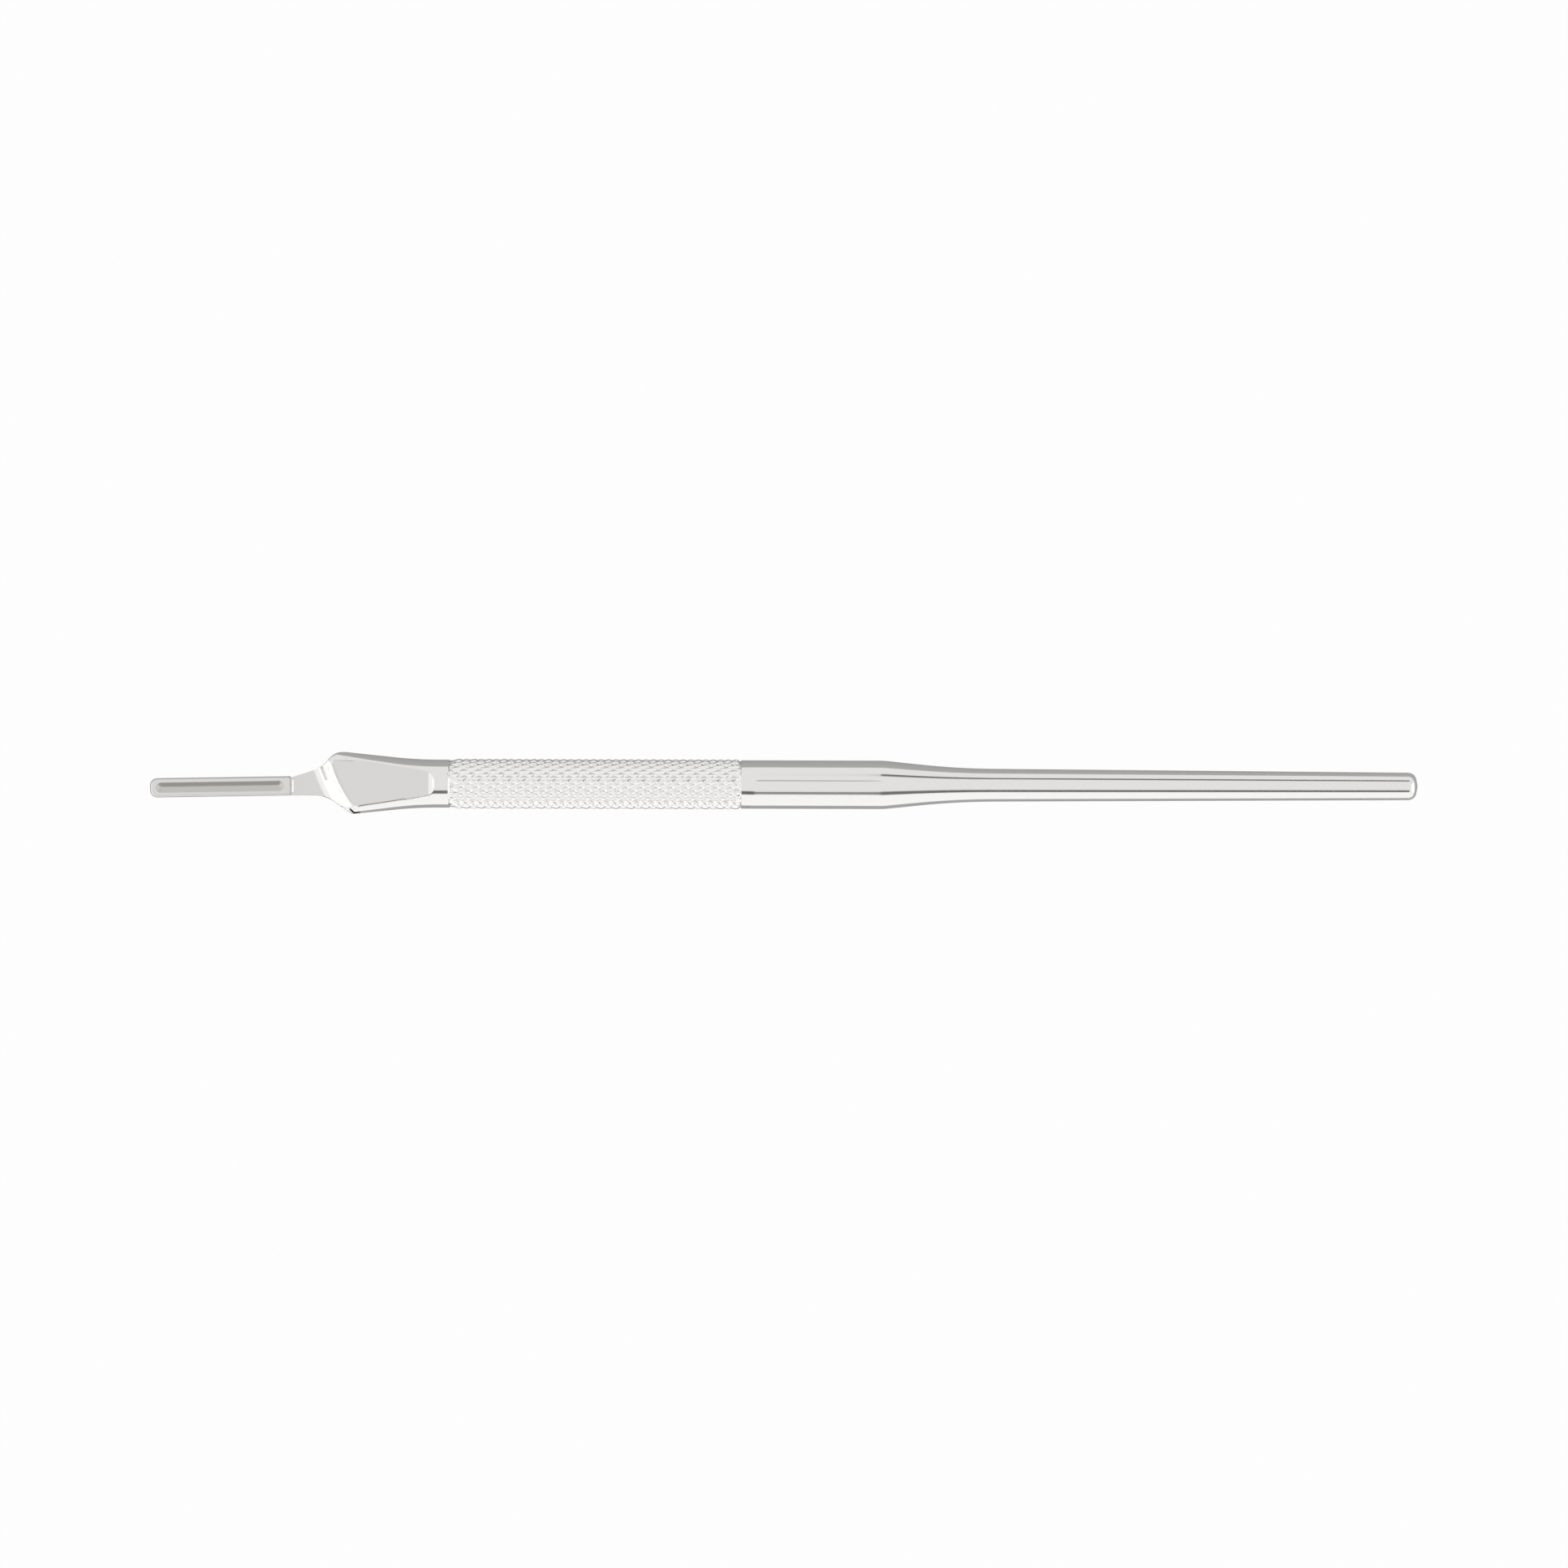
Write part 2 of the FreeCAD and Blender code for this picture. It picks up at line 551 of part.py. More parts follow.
def knurled_grip(doc, sheet):
    """The knurled grip: crossed grooves leave a flat-topped pyramid on each diamond.

    Grooves cross on a lattice of half pitches. Each diamond has two crossings before and behind
    it and two beside it, all on the root radius, and its four sides stop at a flat crest.
    """
    pitch, rows = value(sheet, "grip_pitch"), round(2 * value(sheet, "grip_rows"))
    columns = 2 * round(value(sheet, "grip_starts"))
    root, crest = value(sheet, "grip_root"), value(sheet, "grip_crest")
    flat, end_crest = value(sheet, "grip_flat"), value(sheet, "grip_end_crest")
    start = value(sheet, "grip_start")
    turn = 2 * math.pi / columns
    # A pyramid whose sides would meet above the crest radius, cut off at it.
    apex = root + (crest - root) / (1 - flat)

    def point(row, column, radius):
        angle = (column + 0.5) * turn
        x = start + row * pitch / 2
        return FreeCAD.Vector(x, radius * math.cos(angle), radius * math.sin(angle))

    faces = []
    for row in range(rows + 1):
        for column in range(row % 2, columns, 2):
            sides = []
            if row > 0:
                sides.append(point(row - 1, column, root))
            sides.append(point(row, column + 1, root))
            if row < rows:
                sides.append(point(row + 1, column, root))
            sides.append(point(row, column - 1, root))
            if row in (0, rows):
                tip = point(row, column, end_crest)
                first = 0 if row == 0 else 2
                edge = [sides[first], sides[(first + 1) % 3], sides[(first + 2) % 3]]
                faces += [[edge[0], edge[1], tip], [edge[1], edge[2], tip]]
                continue
            faces += crest_faces(sides, point(row, column, apex), root, crest, apex, turn)
    for row in (0, rows):
        ring = [point(row, j, end_crest if (j + row) % 2 == 0 else root) for j in range(columns)]
        faces.append(ring)
    skins = [Part.Face(Part.makePolygon(face + face[:1])) for face in faces]
    shell = Part.makeShell(skins)
    shell.sewShape()
    grip = doc.addObject("Part::Feature", "knurled_grip")
    grip.Shape = Part.makeSolid(shell)
    return grip


def crest_faces(sides, apex_point, root, crest, apex, turn):
    """The four sloping sides of a diamond and its flat crest."""
    outward = FreeCAD.Vector(0, apex_point.y, apex_point.z).normalize()
    top = []
    for side in sides:
        low = FreeCAD.Vector(0, side.y, side.z).dot(outward)
        share = (apex - crest) / (apex - low)
        top.append(apex_point + (side - apex_point) * share)
    faces = [top]
    for i in range(4):
        j = (i + 1) % 4
        faces.append([sides[i], sides[j], top[j], top[i]])
    return faces


def resting_height():
    """Height of the axis when the grip lies on two rows of crests, one each side of the lowest."""
    apex = "(Sizes.grip_root + (Sizes.grip_crest - Sizes.grip_root) / (1 - Sizes.grip_flat))"
    side = "(180deg / Sizes.grip_starts)"
    share = f"(({apex} - Sizes.grip_crest) / ({apex} - Sizes.grip_root * cos({side})))"
    edge = f"{share} * Sizes.grip_root * sin({side})"
    return f"Sizes.grip_crest * cos({side} / 2) + {edge} * sin({side} / 2)"


def blade_end(doc):
    """Head, blade stop, neck and key, milled from the blank."""
    body = doc.addObject("PartDesign::Body", "blade_end")
    body.BaseFeature = head_blank(doc)
    doc.recompute()
    neck_sides(body)
    blade_stop(body, "front_stop", 1, "-Sizes.seat_level")
    blade_stop(body, "back_stop", -1, "Sizes.neck_back")
    mirror_to_back(body, [ground_panel(body), panel_runout(body)])
    bar_sweep(body)
    blade_key(body)
    doc.recompute()
    return body


def check(doc, handle):
    """Stops if any feature failed or the handle isn't one valid solid."""
    for item in doc.Objects:
        if "Invalid" in item.State or "Error" in item.State:
            raise RuntimeError(f"{item.Label} failed: {item.State}")
    shape = handle.Shape
    if shape.isNull() or not shape.isValid() or len(shape.Solids) != 1:
        raise RuntimeError(f"{handle.Label} is not one valid solid")


def main():
    doc = FreeCAD.newDocument("scalpel_handle")
    sheet = driving_sizes(doc, SIZES)
    handle = doc.addObject("Part::MultiFuse", NODE)
    handle.Label = NODE
    handle.Shapes = [blade_end(doc), knurled_grip(doc, sheet), turned_shank(doc)]
    handle.setExpression("Placement.Base.x", "-Sizes.overall_length / 2")
    handle.setExpression("Placement.Base.z", resting_height())
    doc.recompute()
    check(doc, handle)
    os.makedirs("parts", exist_ok=True)
    handle.Shape.exportStep(f"parts/{NODE}.step")
    print(NODE, round(handle.Shape.Volume, 1), "cubic millimetres", handle.Shape.Solids[0].CenterOfMass)


main()
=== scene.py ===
"""Scalpel handle, round pattern, one piece of steel, lying on its knurled grip and seen from above."""

import math

import bpy
import numpy as np
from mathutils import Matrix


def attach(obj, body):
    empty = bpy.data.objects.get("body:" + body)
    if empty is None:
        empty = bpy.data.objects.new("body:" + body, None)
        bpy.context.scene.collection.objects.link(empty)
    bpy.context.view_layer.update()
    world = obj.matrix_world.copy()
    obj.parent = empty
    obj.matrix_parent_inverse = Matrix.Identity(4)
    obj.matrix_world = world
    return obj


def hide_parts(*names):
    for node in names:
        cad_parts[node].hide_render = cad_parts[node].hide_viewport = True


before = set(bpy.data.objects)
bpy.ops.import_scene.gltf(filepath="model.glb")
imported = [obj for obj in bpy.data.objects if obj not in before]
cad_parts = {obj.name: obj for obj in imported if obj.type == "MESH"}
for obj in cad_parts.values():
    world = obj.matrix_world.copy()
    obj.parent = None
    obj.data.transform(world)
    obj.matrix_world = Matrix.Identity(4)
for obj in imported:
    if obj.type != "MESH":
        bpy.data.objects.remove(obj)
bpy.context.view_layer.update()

# The handle: one bar of stainless steel, turned, milled at its front end and knurled where it is
# held, with no joint. Its features follow from the tip to the rear end, in millimetres: x from the
# tip, y across the head and z up out of the face that shows the key's raised bar.


# The blade key: a slim bar milled from the front of the handle, which a slotted blade slides onto.
# It has a raised bar with a shallow channel, a groove all round for the blade and a lower bar, and
# it lies a little below the handle's axis, at a slight angle to it.

key_end = 16.1
key_half_width, tip_radius, tip_flat = 1.11, 0.8, 0.31
key_drop, key_slope = 0.6, math.radians(1.04)
bar_top, seat_level, back_level = 0.9, -0.2, -1.1
bar_rim, channel_rim = 0.85, 0.6
channel_front, channel_rear = 1.3, 14.8
channel_steepness, channel_reach, channel_bottom = 0.38, 0.62, 0.09
bevel = 0.04
side_levels = np.linspace(seat_level - bevel, back_level + bevel, 24)
back_share = (np.arange(37, -1, -1) + 0.5) / 37.5


def key_rows():
    """Rows of the key, in two halves of 100 points each: 38 from the middle out across the front,
    24 down the side and 38 in again across the back. A row is a place on the key's outline in plan,
    with its outward direction, and each point lies a given inset inside it, at a given height."""
    on_channel = (np.arange(12) + 0.5) / 11.5 * channel_rim
    across = np.r_[on_channel, channel_rim + np.arange(1, 6) * 0.05, [bar_rim] * 3]
    share = np.r_[across / bar_rim, np.ones(42), back_share]
    # Inset and height, from the bar's top over its rounded edge into the groove and out again.
    edge = [(.195, .886), (.13, .84), (.078, .771), (.04, .687), (.013, .591), (0, .45)]
    groove = [(.03, .3), (.06, .3), (.2, .3), (.34, .3), (.38, .3), (.38, .26), (.38, .05), (.38, -.16),
              (.38, -.2), (.35, -.2), (.28, -.2), (.2, -.2), (.12, -.2), (.08, -.2), (bevel, -.2)]
    wall = [(0, height) for height in side_levels]
    top, back = [(.26, bar_top)] * 17, [(bevel, back_level)] * 38
    inset, level = np.array(top + edge + groove + wall + back).T
    inner = share < 1
    inner[19] = True

    # The outline from the middle of the tip round its corner and along the side.
    outline = [(0, width, -1, 0) for width in (0, .1, .2, tip_flat)]
    for angle in np.radians([12, 25, 38, 51, 64, 77, 90]):
        back, out = math.cos(angle), math.sin(angle)
        outline.append((tip_radius - tip_radius * back, tip_flat + tip_radius * out, -back, out))
    stations = [.9, 1, 1.15, 1.3, 1.6, 3, 5, 7, 9, 11, 13, 14.4, 14.8, 14.95, 15.08, 15.2, 15.3, 15.4,
                15.6, 15.9, 16.05]
    outline += [(station, key_half_width, 0, 1) for station in stations]
    x, width, out_x, out_y = (np.array(v)[:, None] for v in zip(*outline))

    # Rows bow a little towards the rear, so that no face beside the tip shrinks to a line.
    bow = .03 * np.minimum(np.arange(len(outline))[:, None] / 3, 1)
    along = x - inset * out_x + np.where(inner, bow * (1 - share ** 2) * (x < 15), 0)
    off = share * (width - inset * out_y)

    # The channel: two sloping sides that a small round bottom joins, with half round ends.
    from_middle = np.hypot(off, np.maximum(np.maximum(channel_front - along, along - channel_rear), 0))
    rim = math.hypot(channel_reach, channel_bottom)
    channel = np.maximum(channel_steepness * (rim - np.hypot(from_middle, channel_bottom)), 0)
    high = np.where(np.arange(100) < 20, level - channel, level) + 0 * along

    # The bar's rear face: two more rows at its end, each lower than the one before.
    rows = [along, off, high]
    for top, edge_drop, half_width in ((.86, 0, .85), (.40, 1, 1.1)):
        end_x, end_y, end_z = (v[-1].copy() for v in rows)
        end_x[:] = key_end
        end_y[:20] = share[:20] * half_width
        end_z[:24] = np.minimum(end_z[:24], top - edge_drop * np.r_[np.zeros(20), 0, .03, .07, .1])
        rows = [np.vstack(pair) for pair in zip(rows, (end_x, end_y, end_z))]

    # Both halves are turned by the key's slope at the tip. Over the next 4 mm that changes to a
    # slant, so that the last row lies square across the handle.
    along, off, high = rows
    turned = 1 - np.clip((along - tip_radius) / 4, 0, 1)
    halves = []
    for side in (1, -1):
        px = along * math.cos(key_slope) - turned * side * off * math.sin(key_slope)
        py = -key_drop + px * math.tan(key_slope) + side * off / math.cos(key_slope)
        halves.append(np.stack([px, py, high], -1))
    return halves


# The neck: milled flat, level with the blade seat in front and plain at the back. A small sweep
# leads down to it from the bar, and its two cut edges open out in a hollow, a straight shoulder
# and a round corner on each side of the head.

seat_start = 16.7
sweep_radius, sweep_middle = 0.6, 0.4
web_half_width, web_spread = 0.73, 0.01
hollow_radius, corner_radius, head_half_height = 4.12, 1.74, 3.61


def shoulder(s, edge, fall, lean, corner):
    """One edge in plan: neck line, hollow, straight shoulder and corner, each tangent to the next.
    It starts at height edge, falls and leans by those degrees, and ends at the corner's station."""
    fall, lean = math.radians(fall), math.radians(lean)
    corner_x = corner - corner_radius * math.sin(lean)
    corner_y = head_half_height - corner_radius * (1 - math.cos(lean))
    neck_gap = corner_y - edge - (corner_x - key_end) * math.tan(fall)
    back = neck_gap / (math.tan(lean) - math.tan(fall))
    reach = hollow_radius * math.tan((lean - fall) / 2)
    hollow_x = corner_x - back - reach * math.cos(fall)
    hollow_y = corner_y - back * math.tan(lean) - reach * math.sin(fall)
    straight_x = corner_x - back + reach * math.cos(lean)
    centre_x = hollow_x - hollow_radius * math.sin(fall)
    centre_y = hollow_y + hollow_radius * math.cos(fall)
    neck = edge + (s - key_end) * math.tan(fall)
    hollow = centre_y - np.sqrt(np.maximum(hollow_radius ** 2 - (s - centre_x) ** 2, 0))
    straight = corner_y + (s - corner_x) * math.tan(lean)
    arc = np.sqrt(np.maximum(corner_radius ** 2 - (s - corner) ** 2, 0))
    round_off = head_half_height - corner_radius + arc
    return np.select([s < hollow_x, s < straight_x, s < corner_x, s < corner],
                     [neck, hollow, straight, round_off], head_half_height)


def plan_edge(s, side):
    """Half width of the milled plan at a station, above (side 1) or below (side -1) the axis."""
    upper = shoulder(s, edge=.63, fall=17.9, lean=47.6, corner=22.1)
    lower = shoulder(s, edge=1.415, fall=.3, lean=35.4, corner=23.84)
    return np.where(side > 0, upper, lower)


def sweep_rows():
    """Rows of the quarter round behind the bar, as wide as the key's web, and of the seat beside it:
    x and height follow a circle, and y runs from the web's middle out to the plan's edge."""
    turn = np.radians([8, 20, 33, 46, 59, 72, 81, 90])[:, None]
    x = seat_start - sweep_radius * np.cos(turn)
    top = sweep_middle - sweep_radius * np.sin(turn)
    middle = -key_drop + x * math.tan(key_slope)
    web = np.append((np.arange(12) + 0.5) / 11.5 * channel_rim,
                    channel_rim + np.arange(1, 9) / 8 * (web_half_width - channel_rim))
    # The seat and the back stop a little short of the plan's edge, which leaves it a fine bevel.
    seat_share, back_end = np.array([.08, .25, .45, .65, .85, 1]) * .96, .97
    halves = []
    for side in (1, -1):
        edge = side * plan_edge(x, side) - middle
        fall = np.arange(1, 13) / 12
        wall = side * (web_half_width + web_spread * fall)
        out = wall[-1] + (edge - wall[-1]) * seat_share
        back = edge * back_share * back_end
        y = np.hstack([side * web + 0 * x, wall + 0 * x, out, edge + 0 * side_levels, back])
        z = np.hstack([top + 0 * web, top + (seat_level - top) * fall, seat_level + 0 * out,
                       side_levels + 0 * x, back_level + 0 * back])
        halves.append(np.stack([x + 0 * y, middle + y, z], -1))
    return halves


# The head: the turned blank thins towards the neck, and a cutter swung on a wide radius leaves the
# oblique stop for the blade's heel, with a ramp before it. A flat is ground behind the stop, closed
# at its front corners and running out in a small hollow towards the grip. Both faces are alike.

head_rise, head_blend, head_end, head_radius = math.radians(5.9), 50, 33.3, 2.765
face_bow, least_half_thickness = 78, 1.45
stop_station, stop_bow, stop_lean = 21.88, 17, math.radians(26.3)
swing_x, swing_y = stop_station + stop_bow * math.cos(stop_lean), stop_bow * math.sin(stop_lean)
ridge_height, ridge_half_width, ridge_land = 1.42, 0.08, 0.16
ramp_slope, foot_radius = math.radians(41), 2
flat_height, flat_slope, flat_end, runout_radius = 1.15, math.radians(7), 32, 1.6
closed_edge, closed_end, closed_radius = 2.66, 24, 0.5
above_all = 9

# The flat's long edges are broken to a slant, more so on the lower side, and the lower shoulder's
# edge to a steeper one that is blunt at the corner: widths across, drops down and stations along.
broken_upper, broken_lower, fine_break, fine_drop = 0.07, 0.15, 0.03, 0.006
lower_start, lower_end, lower_drop = 17.4, 21.85, 0.45
blunt_start, blunt_end, blunt_change, blunt_width, blunt_drop = 20.5, 21.2, 0.3, 0.35, 0.65


def smooth(x, start=0, length=1):
    """A step from 0 at the start to 1 a length further on, with no corner at either end."""
    x = np.clip((x - start) / length, 0, 1)
    return x * x * (3 - 2 * x)


def blank_half_height(s):
    """Straight edges that rise evenly, and a wide radius that blends them into the grip."""
    left = np.maximum(head_end - s, 0)
    curved = head_blend * math.sin(head_rise)
    blend = head_radius + head_blend - np.sqrt(head_blend ** 2 - np.minimum(left, curved) ** 2)
    return blend + np.maximum(left - curved, 0) * math.tan(head_rise)


def blank_half_thickness(s):
    """A long bow that falls from the grip's radius towards the neck, down to a least thickness."""
    bow = head_radius - np.maximum(head_end - s, 0) ** 2 / (2 * face_bow)
    return np.minimum(np.maximum(bow, least_half_thickness), blank_half_height(s))


def blank_surface(x, y):
    """Height of the blank's oval skin over a point of the plan."""
    return blank_half_thickness(x) * np.sqrt(np.maximum(1 - (y / blank_half_height(x)) ** 2, 0))


def milled_height(x, y, seat):
    """Height over the axis plane that milling leaves: seat, hollow foot, ramp, ridge, sloping flat
    with its closed front corners, and the hollow run-out. The blank caps it."""
    ahead = np.hypot(x - swing_x, y - swing_y) - (stop_bow + ridge_half_width)
    foot, reach = (ridge_height - seat) / math.tan(ramp_slope), foot_radius * math.tan(ramp_slope / 2)
    arc = np.sqrt(np.maximum(foot_radius ** 2 - (foot + reach - ahead) ** 2, 0))
    hollow = seat + foot_radius - arc
    ramp = ridge_height - np.maximum(ahead, 0) * math.tan(ramp_slope)
    ramp_foot = foot - reach * math.cos(ramp_slope)
    front = np.select([ahead > foot + reach, ahead > ramp_foot], [seat, hollow], ramp)
    blank = blank_surface(x, y)
    rim = np.where(ahead > -ridge_land, np.minimum(blank, ridge_height), blank)
    slope = math.tan(flat_slope)
    end = flat_height + (flat_end - stop_station) * slope + runout_radius * math.cos(flat_slope)
    away = x - flat_end + runout_radius * math.sin(flat_slope)
    runout = end - np.sqrt(np.maximum(runout_radius ** 2 - away ** 2, 0))
    flat = flat_height + (x - stop_station) * slope
    flat = np.select([x < flat_end, away < runout_radius], [flat, runout], above_all)
    # Inside the stop's arc and beside the closed edge, with a round corner where the two meet.
    inside = -ridge_half_width - ahead
    beside = np.where(x < closed_end, closed_edge - np.abs(y), above_all)
    corner = closed_radius - np.hypot(closed_radius - inside, closed_radius - beside)
    both = (inside < closed_radius) & (beside < closed_radius)
    share = smooth(np.where(both, corner, np.minimum(inside, beside)), length=0.05)
    behind = rim + (np.minimum(flat, blank) - rim) * share
    return np.where(ahead > 0, np.minimum(front, blank), behind)


def sheared(x0, weight, y):
    """Stations of the points of a row that crosses the axis at x0 and follows the stop's arc."""
    arc = swing_x - np.sqrt(np.maximum((x0 - swing_x) ** 2 + swing_y ** 2 - (y - swing_y) ** 2, 0))
    return x0 + weight * (arc - x0)


def milled_edge(x0, weight, side, seat):
    """Where the milled face meets the plan's edge, the blank's skin or the flat's closed edge.
    Found by halving the interval, all rows at once."""
    low, high = np.zeros_like(x0), np.full_like(x0, 5.0)
    for _ in range(40):
        y = (low + high) / 2
        x = sheared(x0, weight, side * y)
        closed = np.where((x0 > stop_station - .001) & (x < closed_end), closed_edge, above_all)
        uncut = milled_height(x, side * y, seat) > blank_surface(x, y) - 1e-5
        beyond = uncut | (y > np.minimum(plan_edge(x, side), closed))
        low, high = np.where(beyond, low, y), np.where(beyond, y, high)
    return low


def head_rows(spacing):
    """Rows from the seat to the grip. Their points keep to the edges of the milled faces, and turn
    into evenly spaced ones where the head becomes round. spacing holds the middle of the last row
    (0) and the spacing of its points on each side (1 and -1), to start from."""
    # Stations on the axis: neck, ramp and ridge by their distance before the stop, flat, run-out.
    ahead = np.r_[2.3, 2.2, 2.1, 2.0, 1.9, 1.8, 1.7, 1.61, 1.5, 1.4, 1.3, 1.2, 1.1, 1.0, .9, .8, .705,
                  .6, .5, .4, .3, .2, .12, .06, .02, 0, -.03, -.079, -.105, -.13, -.17, -.25, -.35,
                  -.45, -.55, -.65]
    ramp = swing_x - np.sqrt((stop_bow + ridge_half_width + ahead) ** 2 - swing_y ** 2)
    x0 = np.r_[16.75, 16.9, 17.1, 17.3, 17.5, 17.7, 17.9, 18.1, 18.3, 18.5, 18.7, 18.9, 19.1, ramp,
               np.arange(22.7, 25.4, .12), np.arange(25.5, 31.0, .25), np.arange(31.1, 33.45, .09),
               33.9, 34.3, 34.5]
    # The rows take the stop's slant on the neck and lose it on the flat. Their points are evenly
    # spaced across the faces from the neck on, and evenly round the axis from the flat's end on.
    round_start = 29.3
    weight = smooth(x0, 16.8, 2.6) * (1 - smooth(x0, 23.6, 5))
    middle = spacing[0] * (1 - smooth(x0, seat_start, 1.8))
    even = smooth(x0, seat_start, 1.6)[:, None]
    rounded = smooth(x0, round_start, 1.8)[:, None]
    column, column_weight = x0[:, None], weight[:, None]
    even_share = (np.arange(38) + 0.5) / 37.5
    halves = []
    for side in (1, -1):
        faces, limits = [], []
        for seat, share in ((seat_level, (1 - even) * spacing[side] + even * even_share),
                            (-back_level, np.tile(even_share, (len(x0), 1)))):
            edge = side * milled_edge(x0, weight, side, seat)
            # Where an edge is broken, the face ends short of it, with its last two points close
            # together.
            long_edge = (sheared(x0, weight, edge) > closed_end) & (x0 < flat_end)
            lower = (side < 0) & (x0 > lower_start) & (x0 < lower_end)
            blunt = smooth(x0, blunt_start, blunt_change) * (1 - smooth(x0, blunt_end, blunt_change))
            broken = np.select([long_edge, lower], [broken_upper if side > 0 else broken_lower,
                                                    broken_lower + blunt_width * blunt], 0)
            drop = np.where(lower, lower_drop + blunt_drop * blunt, fine_break)[:, None]
            y = middle[:, None] + (edge - side * broken - middle)[:, None] * share
            sharp = long_edge | lower
            y[sharp, -2] = y[sharp, -1]
            y[sharp, -1] += side * fine_break
            x = sheared(column, column_weight, y)
            z = milled_height(x, y, seat)
            z[sharp, -1] -= fine_drop
            faces.append((x, y, z))
            past = (np.abs(edge) + np.maximum(broken, fine_break))[:, None]
            limit = np.minimum(z[:, -1:] - drop, blank_surface(x[:, -1:], past))
            limits.append(np.arccos(np.clip(limit / blank_half_thickness(x[:, -1:]), -1, 1)))
        # The side between the two faces, by angle round the blank and inside the plan's edge.
        around = limits[0] + (math.pi - limits[1] - limits[0]) * (np.arange(24) / 23)
        y = faces[0][1][:, -1:] + 0 * around
        for _ in range(4):
            x = sheared(column, column_weight, y)
            y = side * np.minimum(blank_half_height(x) * np.sin(around), plan_edge(x, side))
        back_x, back_y, back_z = (v[:, ::-1] for v in faces[1])
        px, py, pz = (np.hstack(parts) for parts in zip(
            faces[0], (x, y, blank_half_thickness(x) * np.cos(around)), (back_x, back_y, -back_z)))
        # The same rows by angle round the axis, which turns even towards the grip.
        tall, thick = blank_half_height(px), blank_half_thickness(px)
        lean = np.arcsin(np.clip(np.abs(py) / tall, 0, 1))
        turned = np.where(np.arange(100) < 38, lean, math.pi - lean)
        turned[:, 38:62] = around
        turned = turned + (np.radians((np.arange(100) + .5) * 1.8) - turned) * rounded
        ry, rz = side * tall * np.sin(turned), thick * np.cos(turned)
        front, rear = milled_height(px, ry, seat_level), milled_height(px, ry, -back_level)
        rz = np.where(rz > 0, np.minimum(rz, front), np.maximum(rz, -rear))
        late = column > round_start
        halves.append(np.stack([px, np.where(late, ry, py), np.where(late, rz, pz)], -1))
    return halves


# The grip: a diamond knurl pressed into the turned bar by a pair of rollers, 20 grooves round each
# way and 1.723 mm apart along. The crests are cut flat, and the first and last ones are low.

grip_start, half_pitch, half_pitches = 34.5, 0.8615, 39
groove_radius, crest_radius, crest_rise, end_rise = 2.60, 2.87, 0.3214, 0.11
tip_shift = 0.4


def even_angles():
    """Angles of the 200 points of a round row: steps of 1.8 degrees from the upper side over the
    top, the first of them half a step on."""
    return np.radians((np.arange(200) + .5) * 1.8)


def grip_rows():
    """Rows of the knurl, five steps to each half pitch along and to each of 40 columns round.
    A diamond's height falls evenly from its tip to the grooves round it, and the tip is cut flat.
    The tip lies nearer the diamond's rear corner, so that the rear sides are the steeper ones."""
    rows, columns = np.arange(5 * half_pitches + 1)[:, None], np.arange(200)[None, :]
    u, v = rows / 5, (columns - 2) / 5
    p, q = u + v, u - v
    p0, q0 = 2 * np.round(p / 2), 2 * np.round(q / 2)
    away = np.maximum(*(np.where(c > 0, c / (1 - tip_shift), -c / (1 + tip_shift))
                        for c in (p - p0 - tip_shift, q - q0 - tip_shift)))
    middle = (p0 + q0) / 2
    end = (middle < .5) | (middle > half_pitches - .5)
    radius = np.minimum(groove_radius + np.where(end, end_rise, crest_rise) * (1 - away), crest_radius)
    x = grip_start + u * half_pitch + 0 * v
    return np.stack([x, radius * np.cos(even_angles()), radius * np.sin(even_angles())], -1)


# The barrel, cone and shank: turned in one pass behind the grip and polished. The barrel is plain,
# the cone sweeps down to a long shank with a slight taper, and the rear end is rounded over.

handle_length = 146.1
barrel_radius, barrel_end, barrel_round = 2.79, 84.1, 9
cone_slope, shank_taper, shank_blend = math.radians(5.9), math.radians(.363), 88
end_radius, end_round, end_crown = 1.58, 0.95, 0.12


